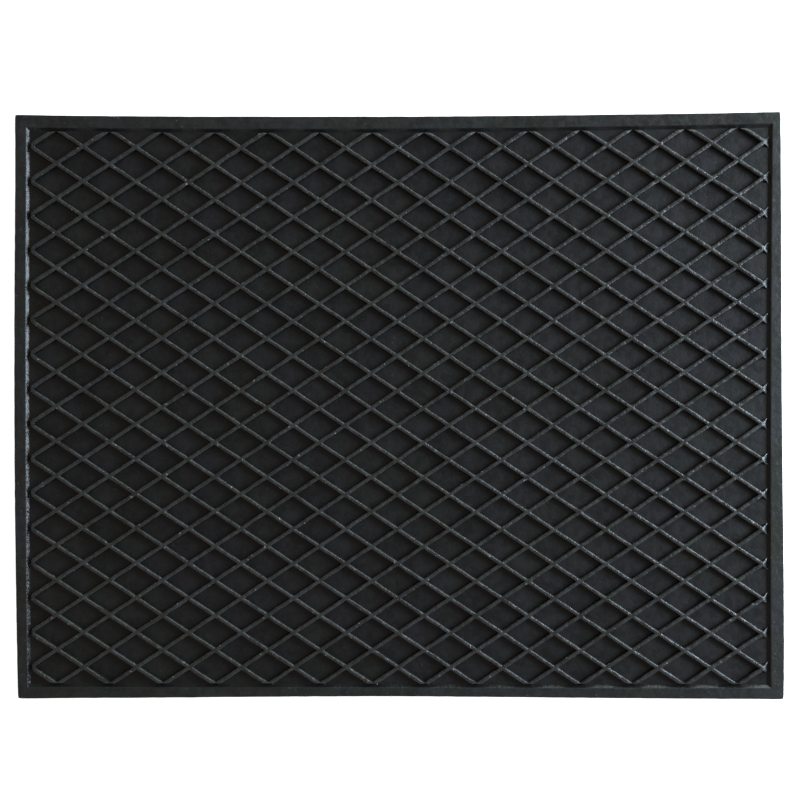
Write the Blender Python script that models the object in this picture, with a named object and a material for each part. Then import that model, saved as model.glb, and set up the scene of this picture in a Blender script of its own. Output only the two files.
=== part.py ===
"""A moulded rubber door mat: a base sheet, four mitred rims round a shallow well, and a lattice of ribs that
stands in the well and rises a little above the rims.

Metres, +Z up. The origin is at the middle of the underside. +X runs along the long side, and +Y runs from the
front rim to the back rim.
"""

import math

import bmesh
import bpy
from mathutils import Matrix, Vector

NAME = "rubber_door_mat"

# Overall size
LENGTH = 0.600
WIDTH = 0.456
BASE_THICKNESS = 0.0030
WELL_DEPTH = 0.0023

# Rims: flat on top, with rounded edges and an inner wall that slopes out of the well
SIDE_RIM_WIDTH = 0.0080
LONG_RIM_WIDTH = 0.0088
WALL_ANGLE = math.radians(42)
RIM_EDGE_RADIUS = 0.0005
RIM_EDGE_SEGMENTS = 3

# Lattice: ribs cross at the corners of diamonds, each one pitch long and one pitch wide
CELL_LENGTH = 0.0410
CELL_WIDTH = 0.0271
LATTICE_SHIFT = -0.0007
RIB_HEIGHT = 0.0040
RIB_TOP_WIDTH = 0.0028
RIB_FOOT_WIDTH = 0.0038
RIB_END_SLOPE = 0.0045

# Faces of neighbouring pieces stay at least this far apart
BOND_GAP = 0.0003

BLACK_RUBBER = (0.020, 0.021, 0.023, 1.0)
RIM_ROUGHNESS = 0.60
FLOOR_ROUGHNESS = 0.55
RIB_ROUGHNESS = 0.50

RIM_TOP = BASE_THICKNESS + WELL_DEPTH
WALL_GAP = BOND_GAP / math.cos(WALL_ANGLE)
RIB_SLOPE = CELL_WIDTH / CELL_LENGTH
RIB_ANGLE = math.atan(RIB_SLOPE)


def clear_scene():
    for obj in list(bpy.data.objects):
        bpy.data.objects.remove(obj, do_unlink=True)


def new_collection(name):
    collection = bpy.data.collections.new(name)
    bpy.context.scene.collection.children.link(collection)
    return collection


def rubber(name, roughness):
    material = bpy.data.materials.new(name)
    material.use_nodes = True
    shader = material.node_tree.nodes["Principled BSDF"]
    shader.inputs["Base Color"].default_value = BLACK_RUBBER
    shader.inputs["Roughness"].default_value = roughness
    shader.inputs["Metallic"].default_value = 0.0
    material.diffuse_color = BLACK_RUBBER
    return material


def new_object(name, bm, collection, material=None):
    bmesh.ops.recalc_face_normals(bm, faces=bm.faces)
    mesh = bpy.data.meshes.new(name)
    bm.to_mesh(mesh)
    bm.free()
    obj = bpy.data.objects.new(name, mesh)
    collection.objects.link(obj)
    if material:
        mesh.materials.append(material)
    return obj


def add_tapered_bar(bm, length, foot_width, top_width, bottom, top, place=None, end_slope=0.0):
    """A bar along X between two heights, narrower at the top, with ends that lean in by end_slope."""
    verts = bmesh.ops.create_cube(bm, size=1.0)["verts"]
    for vert in verts:
        is_top = vert.co.z > 0
        half_width = (top_width if is_top else foot_width) / 2
        half_length = length / 2 - (end_slope if is_top else 0.0)
        vert.co.x = math.copysign(half_length, vert.co.x)
        vert.co.y = math.copysign(half_width, vert.co.y)
        vert.co.z = top if is_top else bottom
    if place:
        bmesh.ops.transform(bm, matrix=place, verts=verts)
    return verts


def wall_lean(height):
    """How far the rims' inner walls have come into the well at a height, from none at their tops."""
    return math.tan(WALL_ANGLE) * (RIM_TOP - height)


def make_base_sheet(collection):
    """The sheet fills the well's plan between the rims, and its edges slope like the walls that they meet."""
    foot_inset = wall_lean(0.0) + WALL_GAP
    top_inset = wall_lean(BASE_THICKNESS) + WALL_GAP
    bm = bmesh.new()
    add_tapered_bar(
        bm,
        LENGTH - 2 * (SIDE_RIM_WIDTH + foot_inset),
        WIDTH - 2 * (LONG_RIM_WIDTH + foot_inset),
        WIDTH - 2 * (LONG_RIM_WIDTH + top_inset),
        0.0,
        BASE_THICKNESS,
        end_slope=top_inset - foot_inset,
    )
    return new_object("base_sheet", bm, collection, rubber("floor_rubber", FLOOR_ROUGHNESS))


def mitre(bm, corner, inner_corner, keep_towards):
    """Cuts a rim along the vertical plane through two plan points, half a gap to the kept side of it."""
    along = (inner_corner - corner).normalized()
    normal = Vector((-along.y, along.x, 0.0))
    if normal.dot(keep_towards - corner) > 0:
        normal.negate()
    geometry = bm.verts[:] + bm.edges[:] + bm.faces[:]
    bmesh.ops.bisect_plane(
        bm, geom=geometry, plane_co=corner - normal * BOND_GAP / 2, plane_no=normal, clear_outer=True
    )
    bmesh.ops.holes_fill(bm, edges=[edge for edge in bm.edges if edge.is_boundary])


def make_rim(name, angle, run, reach, width, end_width, collection):
    """One rim. It is made along X at +Y, with its inner wall towards the middle, and is turned by angle.

    run is the mat's size along the rim, reach is its size across the rim, and end_width is the width of the
    two rims that it meets.
    """
    bm = bmesh.new()
    verts = bmesh.ops.create_cube(bm, size=1.0)["verts"]
    for vert in verts:
        is_top = vert.co.z > 0
        is_inner = vert.co.y < 0
        vert.co.x = math.copysign(run / 2, vert.co.x)
        vert.co.z = RIM_TOP if is_top else 0.0
        vert.co.y = reach / 2 - (width + wall_lean(vert.co.z) if is_inner else 0.0)
    top_edges = [
        edge
        for edge in bm.edges
        if all(vert.co.z > RIM_TOP / 2 for vert in edge.verts)
        and abs(edge.verts[0].co.x - edge.verts[1].co.x) > run / 2
    ]
    bmesh.ops.bevel(
        bm,
        geom=top_edges,
        offset=RIM_EDGE_RADIUS,
        offset_type="OFFSET",
        segments=RIM_EDGE_SEGMENTS,
        profile=0.5,
        affect="EDGES",
    )
    middle = Vector((0.0, reach / 2, 0.0))
    for side in (-1, 1):
        corner = Vector((side * run / 2, reach / 2, 0.0))
        inner_corner = Vector((side * (run / 2 - end_width), reach / 2 - width, 0.0))
        mitre(bm, corner, inner_corner, middle)
    bmesh.ops.rotate(bm, verts=bm.verts, cent=(0, 0, 0), matrix=Matrix.Rotation(angle, 3, "Z"))
    return new_object(name, bm, collection, rubber(name + "_rubber", RIM_ROUGHNESS))


def make_rims(collection):
    quarter = math.pi / 2
    long_rim = (LENGTH, WIDTH, LONG_RIM_WIDTH, SIDE_RIM_WIDTH)
    side_rim = (WIDTH, LENGTH, SIDE_RIM_WIDTH, LONG_RIM_WIDTH)
    make_rim("border_back", 0.0, *long_rim, collection)
    make_rim("border_left", quarter, *side_rim, collection)
    make_rim("border_front", 2 * quarter, *long_rim, collection)
    make_rim("border_right", -quarter, *side_rim, collection)


def lattice_plan():
    """Half the length and half the width of the plan that the ribs' feet may fill."""
    inset = wall_lean(BASE_THICKNESS) + WALL_GAP
    return LENGTH / 2 - SIDE_RIM_WIDTH - inset, WIDTH / 2 - LONG_RIM_WIDTH - inset


def rib_offsets(direction):
    """Where the ribs of one direction (1 rises with x, -1 falls) cross the lattice's own Y axis.

    The middle of the lattice is the middle of a cell. A rib is kept only if it meets a rib of the other
    direction inside the well, so no loose end is left in a corner.
    """
    half_length, half_width = lattice_plan()
    reach = math.ceil((half_width + RIB_SLOPE * (half_length + abs(LATTICE_SHIFT))) / CELL_WIDTH)
    steps = [(number + 0.5) * CELL_WIDTH for number in range(-reach, reach)]

    def crossing_is_inside(own, other):
        x = direction * (other - own) / (2 * RIB_SLOPE) + LATTICE_SHIFT
        y = (own + other) / 2
        return abs(x) < half_length and abs(y) < half_width

    return [own for own in steps if any(crossing_is_inside(own, other) for other in steps)]


def make_ribs(name, direction, collection, material=None):
    """All the ribs of one direction, longer than the well, from the base sheet to their flat tops."""
    bm = bmesh.new()
    length = 2 * math.hypot(LENGTH, WIDTH)
    for offset in rib_offsets(direction):
        turn = Matrix.Rotation(direction * RIB_ANGLE, 4, "Z")
        place = Matrix.Translation((LATTICE_SHIFT, offset, 0.0)) @ turn
        add_tapered_bar(
            bm,
            length,
            RIB_FOOT_WIDTH,
            RIB_TOP_WIDTH,
            BASE_THICKNESS + BOND_GAP,
            BASE_THICKNESS + RIB_HEIGHT,
            place,
        )
    return new_object(name, bm, collection, material)


def make_well_block(collection):
    """The space for the lattice. Its sides lean in, so every rib ends in a slope down to the wall's foot."""
    half_length, half_width = lattice_plan()
    margin = BOND_GAP
    rise = RIB_HEIGHT + 2 * margin
    slope = RIB_END_SLOPE * rise / RIB_HEIGHT
    bm = bmesh.new()
    add_tapered_bar(
        bm,
        2 * half_length,
        2 * half_width,
        2 * (half_width - slope),
        BASE_THICKNESS + BOND_GAP - margin,
        BASE_THICKNESS + BOND_GAP - margin + rise,
        end_slope=slope,
    )
    return new_object("well_block", bm, collection)


def add_boolean(obj, operation, other):
    modifier = obj.modifiers.new(operation.title(), "BOOLEAN")
    modifier.operation = operation
    modifier.solver = "EXACT"
    modifier.object = other


def make_lattice(collection, cutters):
    """Rising and falling ribs become one grid, which is then cut to the well."""
    lattice = make_ribs("diamond_lattice", 1, collection, rubber("rib_rubber", RIB_ROUGHNESS))
    falling = make_ribs("falling_ribs", -1, cutters)
    block = make_well_block(cutters)
    for cutter in (falling, block):
        cutter.hide_render = True
        cutter.display_type = "WIRE"
    add_boolean(lattice, "UNION", falling)
    add_boolean(lattice, "INTERSECT", block)
    return lattice


def main():
    clear_scene()
    parts = new_collection(NAME)
    cutters = new_collection(NAME + "_cutters")
    make_base_sheet(parts)
    make_rims(parts)
    make_lattice(parts, cutters)


main()
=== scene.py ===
"""The looks of the moulded rubber door mat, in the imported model's frame: metres, +Z up, base on z = 0.

The mat is one moulding, so its visible pieces meet without a seam: a base sheet, four rims whose inner walls
slope down to the floor, and one lattice of round-topped ribs that stands a little higher than the rims. All
of them pass through settle(), which moves the straight design to where a soft mat, cut by hand, really lies.
"""

import math

import bmesh
import bpy
import numpy as np
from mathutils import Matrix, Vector


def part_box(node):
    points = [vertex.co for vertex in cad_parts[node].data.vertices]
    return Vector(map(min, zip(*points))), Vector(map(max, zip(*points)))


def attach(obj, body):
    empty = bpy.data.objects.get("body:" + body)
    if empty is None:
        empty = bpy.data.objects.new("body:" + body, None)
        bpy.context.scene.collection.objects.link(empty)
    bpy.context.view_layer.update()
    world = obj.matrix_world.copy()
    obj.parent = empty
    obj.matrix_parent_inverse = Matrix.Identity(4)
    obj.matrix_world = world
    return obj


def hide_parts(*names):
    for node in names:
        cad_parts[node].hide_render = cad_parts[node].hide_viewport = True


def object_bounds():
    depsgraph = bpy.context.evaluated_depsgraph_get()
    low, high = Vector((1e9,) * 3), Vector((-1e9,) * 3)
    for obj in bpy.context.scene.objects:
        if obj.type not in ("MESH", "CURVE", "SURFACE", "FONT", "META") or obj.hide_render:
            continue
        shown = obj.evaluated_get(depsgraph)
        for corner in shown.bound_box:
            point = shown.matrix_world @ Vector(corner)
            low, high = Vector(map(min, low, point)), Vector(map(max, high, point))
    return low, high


MM = 0.001

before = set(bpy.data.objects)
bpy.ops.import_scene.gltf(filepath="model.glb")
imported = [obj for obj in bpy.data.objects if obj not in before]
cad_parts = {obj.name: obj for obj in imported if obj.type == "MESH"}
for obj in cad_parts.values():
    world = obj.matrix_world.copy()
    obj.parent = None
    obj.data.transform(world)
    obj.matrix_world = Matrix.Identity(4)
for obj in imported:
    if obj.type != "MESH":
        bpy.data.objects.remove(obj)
cad_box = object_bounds()

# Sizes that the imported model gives
HALF_LENGTH = cad_box[1].x
HALF_WIDTH = cad_box[1].y
RIM_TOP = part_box("border_back")[1].z
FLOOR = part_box("base_sheet")[1].z
RIB_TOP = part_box("diamond_lattice")[1].z

# Rims: their widths on top, and how far their inner walls run into the well on the way down to the floor
WALL_ANGLE = math.radians(42)
WALL_REACH = RIM_TOP * math.tan(WALL_ANGLE)
SIDE_WIDTH = HALF_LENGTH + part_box("border_left")[1].x - WALL_REACH
LONG_WIDTH = HALF_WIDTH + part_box("border_front")[1].y - WALL_REACH
FOOT_CREEP = 0.35 * MM
WALL_RUN = (RIM_TOP - FLOOR) * math.tan(WALL_ANGLE) + FOOT_CREEP
SIDE_FOOT, LONG_FOOT = SIDE_WIDTH + WALL_RUN, LONG_WIDTH + WALL_RUN
WALL_FOOT_RADIUS = 0.5 * MM
WALL_HOLLOW = 0.06 * MM
INNER_EDGE_RADIUS = 0.4 * MM
OUTER_EDGE_RADIUS = 0.5 * MM
RIM_FALL = 0.15 * MM
RIM_STATION = 2.0 * MM

# Lattice
CELL_LENGTH = 41.0 * MM
CELL_WIDTH = 27.1 * MM
LATTICE_SHIFT = -0.7 * MM
RIB_HEIGHT = RIB_TOP - FLOOR
SIDE_END_RUN = 5.2 * MM
LONG_END_RUN = 2.6 * MM
RIB_END_SHARE = 0.10

# Half of a rib's section: distance from its middle, and height as a share of the rib's height
RIB_SECTION = (
    (0.00 * MM, 1.000),
    (0.80 * MM, 0.985),
    (1.40 * MM, 0.890),
    (1.66 * MM, 0.450),
    (2.10 * MM, -0.040),
)


def smooth_step(t):
    t = np.clip(t, 0.0, 1.0)
    return t * t * (3 - 2 * t)


def smooth_noise(x, y, size, seed):
    """Smooth random values from -1 to 1, with features about size across."""
    table_size = 256
    table = np.random.default_rng(seed).uniform(-1.0, 1.0, (table_size, table_size))
    u, v = np.asarray(x) / size, np.asarray(y) / size
    column, row = np.floor(u).astype(int), np.floor(v).astype(int)
    across, up = smooth_step(u - column), smooth_step(v - row)

    def corner(i, j):
        return table[(column + i) % table_size, (row + j) % table_size]

    low = corner(0, 0) * (1 - across) + corner(1, 0) * across
    high = corner(0, 1) * (1 - across) + corner(1, 1) * across
    return low * (1 - up) + high * up


# ------------------------------------------------------------------ how the mat lies

END_STRETCH = 1.4 * MM
SIDE_BOW = 1.0 * MM
LENGTH_SKEW = -0.6 * MM
RIGHT_SPREAD = 0.6 * MM
BACK_LIFT = 1.3 * MM
BACK_BOW = 1.3 * MM
CORNER_PULL = 0.9 * MM
FRONT_TILT = -0.2 * MM
BACK_TILT = 0.8 * MM
WANDER = 0.22 * MM
WANDER_SIZE = 85 * MM


def settle(x, y):
    """Where points of the straight design lie on the real mat, which has settled a little out of true."""
    u, v = x / HALF_LENGTH, y / HALF_WIDTH
    dx = END_STRETCH * (u**3 - u) + SIDE_BOW * v**2 + LENGTH_SKEW * u**2 + RIGHT_SPREAD * u * v
    dy = BACK_LIFT * u**2 + BACK_BOW * u**2 * v + CORNER_PULL * u * v + FRONT_TILT * u + BACK_TILT * u * v**2
    dx = dx + WANDER * smooth_noise(x, y, WANDER_SIZE, 11)
    dy = dy + WANDER * smooth_noise(x, y, WANDER_SIZE, 12)
    return x + dx, y + dy


# How deep the knife cut inside the design along each side, in mm, at five even places: the left and right
# sides are given from front to back, and the front and back sides from left to right
TRIMS = {
    "left": (0.50, -0.30, -0.70, -0.45, -0.50),
    "right": (-1.85, -2.00, -0.80, 0.25, 1.95),
    "back": (-0.85, -0.65, -0.60, -0.35, -0.15),
    "front": (0.20, 1.30, 2.00, 1.20, 0.20),
}
CUT_WAVE = 0.10 * MM
CORNER_WEAR = 0.35 * MM


def trim_depth(side, t, seed):
    """How deep the knife cut along a side, for t from -1 to 1."""
    curve = np.polyfit(np.linspace(-1.0, 1.0, 5), TRIMS[side], 4)
    return np.polyval(curve, t) * MM + CUT_WAVE * smooth_noise(t * 40, t * 0, 1.0, seed)


def trim(x, y):
    """Moves the rims' outer edges to where the mat was cut out, and leaves their inner edges in place."""
    u, v = x / HALF_LENGTH, y / HALF_WIDTH
    out_x = smooth_step((np.abs(x) - (HALF_LENGTH - SIDE_WIDTH)) / SIDE_WIDTH)
    out_y = smooth_step((np.abs(y) - (HALF_WIDTH - LONG_WIDTH)) / LONG_WIDTH)
    cut_x = np.where(x < 0, trim_depth("left", v, 21), trim_depth("right", v, 22))
    cut_y = np.where(y < 0, trim_depth("front", u, 23), trim_depth("back", u, 24))
    corner = CORNER_WEAR * (out_x * out_y) ** 8
    return x - np.sign(x) * (cut_x * out_x + corner), y - np.sign(y) * (cut_y * out_y + corner)


# ------------------------------------------------------------------ meshes


def new_piece(name, points, faces, material, node):
    mesh = bpy.data.meshes.new(name)
    mesh.from_pydata(points, [], faces)
    mesh.validate()
    return finish_piece(name, mesh, material, node)


def finish_piece(name, mesh, material, node):
    mesh.shade_smooth()
    mesh.set_sharp_from_angle(angle=math.radians(50))
    mesh.materials.append(material)
    obj = bpy.data.objects.new(name, mesh)
    bpy.context.scene.collection.objects.link(obj)
    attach(obj, "root")
    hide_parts(node)
    return obj


def round_corner(before, corner, after, radius, steps):
    """Points of a curve that cuts a corner, starting and ending radius from it."""
    corner = np.array(corner)
    start = corner + radius * (np.array(before) - corner) / np.linalg.norm(np.array(before) - corner)
    end = corner + radius * (np.array(after) - corner) / np.linalg.norm(np.array(after) - corner)
    shares = np.linspace(0.0, 1.0, steps)[:, None]
    curve = (1 - shares) ** 2 * start + 2 * shares * (1 - shares) * corner + shares**2 * end
    return [tuple(point) for point in curve]


TOE_LENGTH = 0.8 * MM
TOE_SINK = 0.03 * MM
TOE_THICKNESS = 0.17 * MM
SEAM_GAP = 0.05 * MM
BOTTOM_CHAMFER = 0.4 * MM
RIM_TOP_STEPS = 6


def rim_profile(width):
    """A rim's closed section as (s, z): s runs out from the wall's top, so it is negative inside the well.

    Its toe is a thin flap that runs on from the wall's foot and dips just under the floor, so no seam shows.
    """
    hidden = FLOOR - TOE_SINK - TOE_THICKNESS
    seam = -WALL_RUN + SEAM_GAP
    inner_top = (0.0, RIM_TOP)
    foot = (-WALL_RUN, FLOOR)
    toe = (-WALL_RUN - TOE_LENGTH, FLOOR - TOE_SINK)
    outer_top = (width, RIM_TOP - RIM_FALL)
    points = [(seam, 0.0), (seam, hidden), (toe[0], hidden), toe]
    points += round_corner(toe, foot, inner_top, WALL_FOOT_RADIUS, 5)
    for share in (0.35, 0.5, 0.65):
        hollow = WALL_HOLLOW * 4 * share * (1 - share)
        points.append((-WALL_RUN * (1 - share) + hollow, FLOOR + (RIM_TOP - FLOOR) * share - hollow))
    points += round_corner(foot, inner_top, outer_top, INNER_EDGE_RADIUS, 5)
    for step in range(1, RIM_TOP_STEPS):
        share = step / RIM_TOP_STEPS
        points.append((width * share, RIM_TOP - RIM_FALL * share))
    points += round_corner(inner_top, outer_top, (width, 0.0), OUTER_EDGE_RADIUS, 5)
    points += [(width, RIM_TOP / 2), (width, BOTTOM_CHAMFER), (width - BOTTOM_CHAMFER, 0.0)]
    return points


def make_rim(node, side, material):
    """A rim with mitred ends. side is the way its outer face looks, such as (0, 1) for the back rim."""
    along_x = side[1] != 0
    width, end_width = (LONG_WIDTH, SIDE_WIDTH) if along_x else (SIDE_WIDTH, LONG_WIDTH)
    reach, half_run = (HALF_WIDTH, HALF_LENGTH) if along_x else (HALF_LENGTH, HALF_WIDTH)
    profile = np.array(rim_profile(width))
    stations = np.linspace(-1.0, 1.0, 2 * round(half_run / RIM_STATION) + 1)
    out = reach - width + profile[:, 0]
    depth = reach - out
    run = half_run - np.where(depth < width, depth * end_width / width, depth - width + end_width)
    along = stations[:, None] * run[None, :]
    across = np.broadcast_to(out, along.shape)
    x, y = (along, across * side[1]) if along_x else (across * side[0], along)
    z = np.broadcast_to(profile[:, 1], along.shape)
    x, y = trim(x, y)
    x, y = settle(x, y)
    points = np.stack([x, y, z], axis=-1).reshape(-1, 3)
    count = len(profile)
    faces = []
    for i in range(len(stations) - 1):
        for j in range(count):
            k = (j + 1) % count
            faces.append((i * count + j, i * count + k, (i + 1) * count + k, (i + 1) * count + j))
    faces.append(tuple(range(count)))
    faces.append(tuple(range((len(stations) - 1) * count, len(stations) * count)))
    obj = new_piece(node + "_rim", points.tolist(), faces, material, node)
    recalculate_normals(obj.data)


def recalculate_normals(mesh):
    bm = bmesh.new()
    bm.from_mesh(mesh)
    bmesh.ops.recalc_face_normals(bm, faces=bm.faces)
    bm.to_mesh(mesh)
    bm.free()


FLOOR_GRID = 3.0 * MM
FLOOR_WAVE = 0.03 * MM
FLOOR_WAVE_SIZE = 14 * MM


def make_base_sheet(material):
    """The sheet between the rims: a gently uneven floor on top and a flat underside."""
    half_x, half_y = HALF_LENGTH - SIDE_FOOT, HALF_WIDTH - LONG_FOOT
    columns = np.linspace(-half_x, half_x, round(2 * half_x / FLOOR_GRID) + 1)
    rows = np.linspace(-half_y, half_y, round(2 * half_y / FLOOR_GRID) + 1)
    x, y = np.meshgrid(columns, rows, indexing="ij")
    wave = FLOOR_WAVE * smooth_noise(x, y, FLOOR_WAVE_SIZE, 31)
    sx, sy = settle(x, y)
    top = np.stack([sx, sy, FLOOR + wave], axis=-1).reshape(-1, 3)
    bottom = np.stack([sx, sy, np.zeros_like(sx)], axis=-1).reshape(-1, 3)
    nx, ny = len(columns), len(rows)
    index = np.arange(nx * ny).reshape(nx, ny)
    corners = (index[:-1, :-1], index[1:, :-1], index[1:, 1:], index[:-1, 1:])
    quads = np.stack(corners, axis=-1).reshape(-1, 4)
    edge = np.concatenate([index[:-1, 0], index[-1, :-1], index[:0:-1, -1], index[0, :0:-1]])
    following = np.roll(edge, -1)
    walls = np.stack([edge, edge + nx * ny, following + nx * ny, following], axis=-1)
    faces = np.concatenate([quads, quads[:, ::-1] + nx * ny, walls])
    points = np.concatenate([top, bottom])
    obj = new_piece("floor_sheet", points.tolist(), faces.tolist(), material, "base_sheet")
    recalculate_normals(obj.data)


# Places along a rib's side between two crossings, as shares of the gap, where the mesh has a line
CELL_STOPS = (0.06, 0.20, 0.40, 0.60, 0.80, 0.94)


def rib_lines():
    """Positions across the ribs of one direction, in pitches from the middle of the lattice.

    Returns the positions, the number of the rib that each step between two of them is on, or -1, and the
    distance between two ribs.
    """
    spacing = CELL_WIDTH * math.cos(math.atan(CELL_WIDTH / CELL_LENGTH))
    reach = HALF_LENGTH / CELL_LENGTH + HALF_WIDTH / CELL_WIDTH
    last = math.floor(reach - SIDE_FOOT / CELL_LENGTH - LONG_FOOT / CELL_WIDTH - 0.5)
    offsets = [distance / spacing for distance, height in RIB_SECTION]
    band = [-offset for offset in reversed(offsets)] + offsets[1:]
    half_band = offsets[-1]
    gap = 1.0 - 2 * half_band
    first_middle = -last - 0.5
    positions = [first_middle - half_band - gap * (1 - stop) for stop in CELL_STOPS]
    rib_of_step = [-1] * len(CELL_STOPS)
    for rib in range(2 * last + 2):
        middle = first_middle + rib
        positions += [middle + offset for offset in band]
        rib_of_step += [rib] * (len(band) - 1)
        positions += [middle + half_band + gap * stop for stop in CELL_STOPS]
        rib_of_step += [-1] * (len(CELL_STOPS) + 1)
    return np.array(positions), np.array(rib_of_step[:-1]), spacing


def rib_height(distance):
    """A rib's height above the floor at a distance from its middle line."""
    distances = [point[0] for point in RIB_SECTION]
    heights = [point[1] * RIB_HEIGHT for point in RIB_SECTION]
    return np.interp(distance, distances, heights)


def pull_ribs(x, y):
    """Moves the ribs to where they sit inside the rims, a little out of true. The shares below are in mm."""
    u, v = x / HALF_LENGTH, y / HALF_WIDTH
    dx = -0.78 - 0.28 * u - 0.25 * v + 0.35 * u * v**2 + 0.50 * u**2 * v - 0.25 * u**2 + 0.40 * u**3
    dy = -0.10 + 0.13 * v + 0.65 * v**2 + 0.25 * u**2 + 0.80 * u**2 * v + 0.35 * u * v + 0.15 * u * v**2
    return x + dx * MM, y + dy * MM


NEAR_MARGIN = 4 * MM


def keep_near(x, y, i0, j0, i1, j1):
    """Of the grid's cells from (i0, j0) to (i1, j1), those whose middles are on the mat or close to it."""
    near_x = np.abs(x[i0, j0] + x[i1, j1]) / 2 < HALF_LENGTH + NEAR_MARGIN
    near_y = np.abs(y[i0, j0] + y[i1, j1]) / 2 < HALF_WIDTH + NEAR_MARGIN
    keep = near_x & near_y
    return i0[keep], j0[keep], i1[keep], j1[keep]


def lattice_faces(x, y, rib_of_step):
    """The ribs' upper faces, one for each grid cell that a rib covers, and the larger faces under them."""
    n = len(x)
    index = np.arange(n * n).reshape(n, n)
    on_rib = rib_of_step >= 0
    i, j = np.nonzero(on_rib[:, None] | on_rib[None, :])
    i0, j0, i1, j1 = keep_near(x, y, i, j, i + 1, j + 1)
    faces = [np.stack([index[i0, j0], index[i0, j1], index[i1, j1], index[i1, j0]], axis=-1)]

    ribs = [np.nonzero(rib_of_step == rib)[0] for rib in range(rib_of_step.max() + 1)]
    starts = np.array([steps[0] for steps in ribs])
    ends = np.array([steps[-1] + 1 for steps in ribs])
    gaps = np.nonzero(~on_rib)[0]
    for i0, i1, j0, j1 in (
        (starts, ends, gaps, gaps + 1),
        (gaps, gaps + 1, starts, ends),
        (starts, ends, starts, ends),
    ):
        i0, j0 = [grid.ravel() for grid in np.meshgrid(i0, j0, indexing="ij")]
        i1, j1 = [grid.ravel() for grid in np.meshgrid(i1, j1, indexing="ij")]
        i0, j0, i1, j1 = keep_near(x, y, i0, j0, i1, j1)
        faces.append(np.stack([index[i0, j0], index[i1, j0], index[i1, j1], index[i0, j1]], axis=-1))
    return np.concatenate(faces)


def make_lattice(material):
    """Ribs of both directions as one closed mesh, on a slanted grid whose lines run along the ribs."""
    positions, rib_of_step, spacing = rib_lines()
    a, b = np.meshgrid(positions, positions, indexing="ij")
    x = (a + b) * CELL_LENGTH / 2 + LATTICE_SHIFT
    y = (a - b) * CELL_WIDTH / 2
    x, y = pull_ribs(x, y)
    to_rib = np.abs(positions - np.floor(positions) - 0.5) * spacing
    height = np.maximum(rib_height(to_rib)[:, None], rib_height(to_rib)[None, :])
    faces = lattice_faces(x, y, rib_of_step)
    used, faces = np.unique(faces, return_inverse=True)
    faces = faces.reshape(-1, 4)
    points = np.stack([x.ravel()[used], y.ravel()[used], height.ravel()[used]], axis=-1)

    mesh = bpy.data.meshes.new("lattice")
    mesh.from_pydata(points.tolist(), [], faces.tolist())
    cut_to_well(mesh)
    shape_ribs(mesh)
    finish_piece("diamond_ribs", mesh, material, "diamond_lattice")


END_SINK = 0.3 * MM
CUT_TOLERANCE = 1e-7


def cut_to_well(mesh):
    """Cuts the lattice just past the walls' feet, so its ends sink into the walls, and closes its ends."""
    half_x = HALF_LENGTH - SIDE_FOOT + END_SINK
    half_y = HALF_WIDTH - LONG_FOOT + END_SINK
    bm = bmesh.new()
    bm.from_mesh(mesh)
    for x, y in ((1, 0), (-1, 0), (0, 1), (0, -1)):
        bmesh.ops.bisect_plane(
            bm,
            geom=bm.verts[:] + bm.edges[:] + bm.faces[:],
            dist=CUT_TOLERANCE,
            plane_co=(x * half_x, y * half_y, 0.0),
            plane_no=(x, y, 0.0),
            clear_outer=True,
        )
        bmesh.ops.holes_fill(bm, edges=[edge for edge in bm.edges if edge.is_boundary])
    bmesh.ops.recalc_face_normals(bm, faces=bm.faces)
    bm.to_mesh(mesh)
    bm.free()


HEIGHT_WAVE = 0.06
HEIGHT_WAVE_SIZE = 9 * MM
RIB_WANDER = 0.14 * MM
RIB_WANDER_SIZE = 8 * MM
RIB_RAGGEDNESS = 0.7
RIB_RAGGED_SIZE = 3 * MM


def rib_wander(x, y, seed):
    """How far the ribs stray sideways: slow bends, and finer ragged ones."""
    bends = smooth_noise(x, y, RIB_WANDER_SIZE, seed)
    return RIB_WANDER * (bends + RIB_RAGGEDNESS * smooth_noise(x, y, RIB_RAGGED_SIZE, seed + 1))


def shape_ribs(mesh):
    """Slopes the ribs' ends to the walls' feet, makes them a little uneven, and sets them on the floor."""
    points = np.empty(len(mesh.vertices) * 3, dtype=np.float32)
    mesh.vertices.foreach_get("co", points)
    x, y, height = points.reshape(-1, 3).astype(float).T
    side_way = np.clip((HALF_LENGTH - SIDE_FOOT - np.abs(x)) / SIDE_END_RUN, 0.0, 1.0)
    long_way = np.clip((HALF_WIDTH - LONG_FOOT - np.abs(y)) / LONG_END_RUN, 0.0, 1.0)
    ramp = 1 - (1 - RIB_END_SHARE) * (1 - np.minimum(side_way, long_way)) ** 2
    uneven = 1 + HEIGHT_WAVE * smooth_noise(x, y, HEIGHT_WAVE_SIZE, 41)
    height = np.where(height > 0, height * ramp * uneven, height)
    x = x + rib_wander(x, y, 42)
    y = y + rib_wander(x, y, 44)
    sx, sy = settle(x, y)
    points = np.stack([sx, sy, FLOOR + height], axis=-1)
    mesh.vertices.foreach_set("co", points.astype(np.float32).ravel())
    mesh.update()


# ------------------------------------------------------------------ materials


def add_node(tree, kind, settings=None, **inputs):
    """Adds a node. Its inputs are values or sockets, given by name, or by number after an underscore."""
    node = tree.nodes.new("ShaderNode" + kind)
    for key, value in (settings or {}).items():
        setattr(node, key, value)
    for key, value in inputs.items():
        socket = node.inputs[int(key[1:]) if key[1:].isdigit() else key.replace("_", " ")]
        if isinstance(value, bpy.types.NodeSocket):
            tree.links.new(value, socket)
        else:
            socket.default_value = value
    return node


def noise(tree, place, size, detail, seed):
    """Noise from 0 to 1 with features about size across."""
    settings = {"noise_dimensions": "4D"}
    node = add_node(tree, "TexNoise", settings, Vector=place, Scale=1 / size, Detail=detail, W=seed)
    return node.outputs["Fac"]


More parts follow.
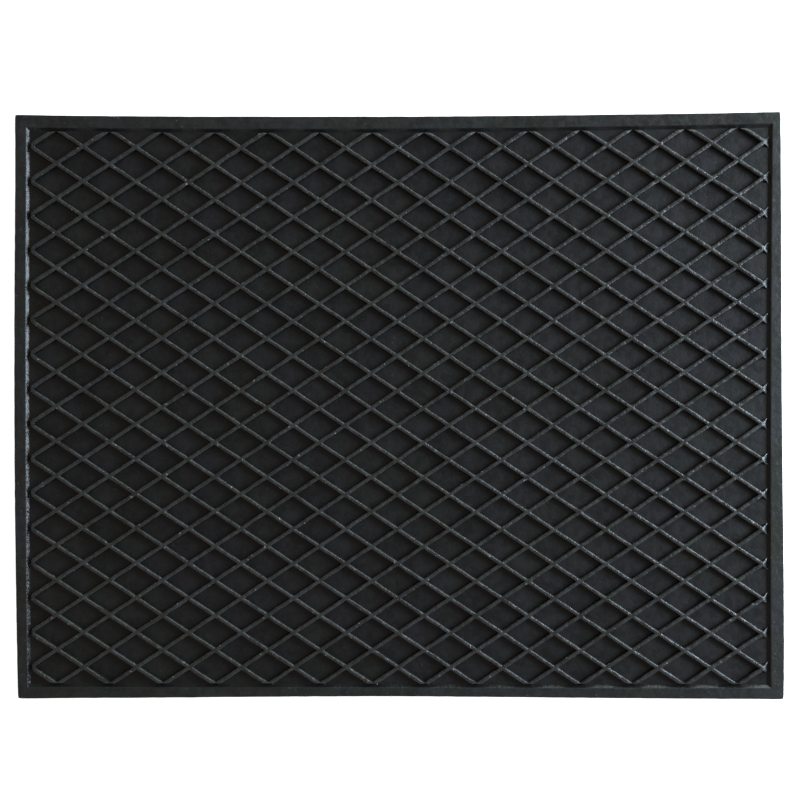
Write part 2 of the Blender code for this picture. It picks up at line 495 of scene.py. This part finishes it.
def ramp(tree, value, low, high, to_high=1.0):
    """Rises smoothly from 0 to to_high while value goes from low to high."""
    settings = {"interpolation_type": "SMOOTHSTEP"}
    node = add_node(tree, "MapRange", settings, Value=value, From_Min=low, From_Max=high, To_Max=to_high)
    return node.outputs["Result"]


def calc(tree, operation, first, second):
    return add_node(tree, "Math", {"operation": operation}, _0=first, _1=second).outputs[0]


def mix_colours(tree, factor, first, second):
    node = add_node(tree, "Mix", {"data_type": "RGBA"}, _0=factor, _6=first, _7=second)
    return node.outputs[2]


def weigh(tree, *parts):
    """The sum of (share, value) pairs."""
    total = 0.0
    for share, value in parts:
        total = calc(tree, "ADD", total, calc(tree, "MULTIPLY", share, value))
    return total


def mix_values(tree, factor, first, second):
    node = add_node(tree, "Mix", {"data_type": "FLOAT"}, _0=factor, _2=first, _3=second)
    return node.outputs[0]


def split(tree, place, axis):
    return add_node(tree, "SeparateXYZ", _0=place).outputs[axis]


# Colour of the pale specks: partly lint, partly painted glints on the rib tops
LINT_AND_GLINT = (0.30, 0.32, 0.34, 1.0)
SIDE_BAND = 8.0 * MM
STREAK_WIDTH = 1.2 * MM
STREAK_SQUEEZE = 0.06
DENT_DEPTH = 0.12 * MM
HOLLOW_DEPTH = 0.35 * MM
ROUGHNESS_SPREAD = 0.12


def stretched_noise(tree, place, squeeze, seed):
    mapping = add_node(tree, "Mapping", _0=place, _3=squeeze)
    return noise(tree, mapping.outputs[0], STREAK_WIDTH, 3.0, seed)


def streaks(tree, place):
    """Marks that run along the rims: along Y on the two side rims, and along X on the other two."""
    from_middle = calc(tree, "ABSOLUTE", split(tree, place, "X"), 0.0)
    on_side = ramp(tree, from_middle, HALF_LENGTH - SIDE_BAND, HALF_LENGTH - SIDE_BAND + MM)
    along_x = stretched_noise(tree, place, (STREAK_SQUEEZE, 1.0, 1.0), 4.0)
    along_y = stretched_noise(tree, place, (1.0, STREAK_SQUEEZE, 1.0), 6.0)
    return ramp(tree, mix_values(tree, on_side, along_x, along_y), 0.30, 0.70)


def rubber(
    name,
    fresh_and_shade_tone,
    bloomed_and_lit,
    stain,
    roughness,
    specular,
    worn_and_lit_heights,
    shares,
    smooth,
    lint_and_glints,
    relief,
    streaked=0.0,
    right=0.0,
):
    """Black moulded rubber: mottled and pale on its upper parts, and darker and smoother lower down.

    The pale upper parts are partly wear and partly painted light on raised tops, and the darker colour below
    is partly painted shade. worn_and_lit_heights are the two heights between which the rubber turns from
    smooth and dark to worn and pale, and smooth is its roughness below them. shares are how much the clouds,
    the patches and the specks add to the pale mottle. stain is a second colour for it, in large patches.
    lint_and_glints is how much of the pale specks lie on it, which are partly lint and partly painted
    glints, and relief is how strong its dents are. streaked is how much the marks along the rims add, and
    right is how much paler the right rim is made, which is painted light from the lamps on that side.
    """
    material = bpy.data.materials.new(name)
    material.use_nodes = True
    tree = material.node_tree
    shader = tree.nodes["Principled BSDF"]
    place = add_node(tree, "TexCoord").outputs["Object"]
    # Paler and rougher above these heights: partly wear, partly painted light on raised tops; the darker
    # colour below is partly painted shade
    worn_and_lit = ramp(tree, split(tree, place, "Z"), *worn_and_lit_heights)

    clouds = ramp(tree, noise(tree, place, 24 * MM, 3.0, 1.0), 0.34, 0.66)
    patches = ramp(tree, noise(tree, place, 6 * MM, 3.0, 2.0), 0.34, 0.66)
    specks = ramp(tree, noise(tree, place, 1.6 * MM, 2.0, 3.0), 0.32, 0.68)
    bloom_and_light = weigh(tree, (shares[0], clouds), (shares[1], patches), (shares[2], specks))
    if streaked:
        x = split(tree, place, "X")
        # The right rim's top is made paler: painted light from the lamps on that side
        painted_light_on_right = ramp(tree, x, HALF_LENGTH - 2 * SIDE_BAND, HALF_LENGTH - SIDE_BAND)
        bloom_and_light = weigh(tree, (1.0, bloom_and_light), (streaked, streaks(tree, place)), (right, painted_light_on_right))
    stained = ramp(tree, noise(tree, place, 45 * MM, 2.0, 8.0), 0.40, 0.62)
    bloom_and_light_colour = mix_colours(tree, stained, (*bloomed_and_lit, 1.0), (*stain, 1.0))
    colour = mix_colours(tree, calc(tree, "MULTIPLY", bloom_and_light, worn_and_lit), (*fresh_and_shade_tone, 1.0), bloom_and_light_colour)
    # Pale specks on the upper parts: partly lint, partly painted glints
    lint_and_glint_specks = ramp(tree, noise(tree, place, 2.2 * MM, 1.0, 5.0), 0.68, 0.80, to_high=lint_and_glints)
    colour = mix_colours(tree, calc(tree, "MULTIPLY", lint_and_glint_specks, worn_and_lit), colour, LINT_AND_GLINT)
    tree.links.new(colour, shader.inputs["Base Color"])

    spread = calc(tree, "MULTIPLY", ROUGHNESS_SPREAD, patches)
    uneven = calc(tree, "ADD", roughness - ROUGHNESS_SPREAD / 2, spread)
    tree.links.new(mix_values(tree, worn_and_lit, smooth, uneven), shader.inputs["Roughness"])
    shader.inputs["Specular IOR Level"].default_value = specular

    dents = add_node(tree, "Bump", Strength=relief, Distance=DENT_DEPTH, Height=specks).outputs[0]
    hollows = add_node(tree, "Bump", Strength=relief, Distance=HOLLOW_DEPTH, Height=patches, Normal=dents)
    tree.links.new(hollows.outputs[0], shader.inputs["Normal"])
    return material


# ------------------------------------------------------------------ stage


CAMERA_PLACE = (0.92 * MM, 6.36 * MM, RIM_TOP + 0.870)
STUDIO_HALF = 30.0
STUDIO_DROP = 0.2 * MM


def make_camera():
    """The camera looks straight down."""
    data = bpy.data.cameras.new("camera")
    data.lens = 50.0
    data.sensor_width = 36.0
    camera = bpy.data.objects.new("camera", data)
    camera.location = CAMERA_PLACE
    bpy.context.scene.collection.objects.link(camera)
    bpy.context.scene.camera = camera


def make_floor():
    """A white studio floor just under the mat, which glows so that it stays white all over."""
    mesh = bpy.data.meshes.new("studio_floor")
    corners = [(x * STUDIO_HALF, y * STUDIO_HALF, 0) for x, y in ((-1, -1), (1, -1), (1, 1), (-1, 1))]
    mesh.from_pydata(corners, [], [(0, 1, 2, 3)])
    material = bpy.data.materials.new("studio_floor")
    material.use_nodes = True
    shader = material.node_tree.nodes["Principled BSDF"]
    shader.inputs["Base Color"].default_value = (0.9, 0.9, 0.9, 1.0)
    shader.inputs["Roughness"].default_value = 0.9
    shader.inputs["Emission Color"].default_value = (1, 1, 1, 1)
    shader.inputs["Emission Strength"].default_value = 0.85
    mesh.materials.append(material)
    floor = bpy.data.objects.new("studio_floor", mesh)
    floor.location.z = -STUDIO_DROP
    bpy.context.scene.collection.objects.link(floor)


def make_light(name, place, size, energy, colour):
    """An area light that looks at the middle of the mat."""
    data = bpy.data.lights.new(name, "AREA")
    data.shape = "RECTANGLE"
    data.size, data.size_y = size
    data.energy = energy
    data.color = colour
    light = bpy.data.objects.new(name, data)
    light.location = place
    light.rotation_euler = (-Vector(place)).to_track_quat("-Z", "Y").to_euler()
    bpy.context.scene.collection.objects.link(light)


def make_world():
    world = bpy.data.worlds.new("studio")
    world.use_nodes = True
    background = world.node_tree.nodes["Background"]
    background.inputs["Color"].default_value = (1.0, 0.92, 0.84, 1.0)
    background.inputs["Strength"].default_value = 0.34
    bpy.context.scene.world = world


make_camera()
make_floor()
make_light("key", (1.42, 0.29, 0.69), (1.2, 0.5), 48.0, (0.72, 0.86, 1.0))
make_light("back_fill", (0.95, 1.90, 0.62), (1.2, 0.6), 21.0, (0.88, 1.0, 0.96))
make_light("front_fill", (0.0, -1.90, 0.64), (2.0, 0.6), 2.5, (1.0, 1.0, 1.0))
make_world()
bpy.context.scene.view_settings.view_transform = "Standard"

# The same rubber as the ribs and rims, but darker: partly painted shade on the floor that lies deep between
# the ribs
FLOOR_RUBBER = rubber(
    "floor_rubber",
    fresh_and_shade_tone=(0.003, 0.003, 0.003),
    bloomed_and_lit=(0.0114, 0.0110, 0.0126),
    stain=(0.0117, 0.0120, 0.0110),
    roughness=0.50,
    specular=0.28,
    worn_and_lit_heights=(FLOOR - 1.0 * MM, FLOOR - 0.5 * MM),
    shares=(0.50, 0.40, 0.35),
    smooth=0.3,
    lint_and_glints=0.05,
    relief=0.25,
)
# The ribs' pale colour is about two and a half times the floor's: partly wear, partly painted light on the
# rib tops
RIB_RUBBER = rubber(
    "rib_rubber",
    fresh_and_shade_tone=(0.006, 0.006, 0.006),
    bloomed_and_lit=(0.028, 0.030, 0.032),
    stain=(0.025, 0.027, 0.0245),
    roughness=0.39,
    specular=0.56,
    worn_and_lit_heights=(FLOOR + 0.30 * RIB_HEIGHT, FLOOR + 0.66 * RIB_HEIGHT),
    shares=(0.25, 0.45, 0.50),
    smooth=0.25,
    lint_and_glints=0.7,
    relief=0.9,
)
RIM_RUBBER = rubber(
    # The rims' lower colour, on their walls, is set lighter than the ribs' to lift the walls' shade: painted
    # light
    "rim_rubber",
    fresh_and_shade_tone=(0.010, 0.010, 0.010),
    bloomed_and_lit=(0.0225, 0.0240, 0.0255),
    stain=(0.0200, 0.0215, 0.0180),
    roughness=0.42,
    specular=0.27,
    worn_and_lit_heights=(RIM_TOP - 0.6 * MM, RIM_TOP - 0.25 * MM),
    shares=(0.16, 0.38, 0.28),
    smooth=0.27,
    lint_and_glints=0.15,
    relief=0.45,
    streaked=0.34,
    # How much paler the right rim is made: painted light
    right=1.1,
)

make_base_sheet(FLOOR_RUBBER)
for rim_node, rim_side in (
    ("border_back", (0, 1)),
    ("border_front", (0, -1)),
    ("border_left", (-1, 0)),
    ("border_right", (1, 0)),
):
    make_rim(rim_node, rim_side, RIM_RUBBER)
make_lattice(RIB_RUBBER)
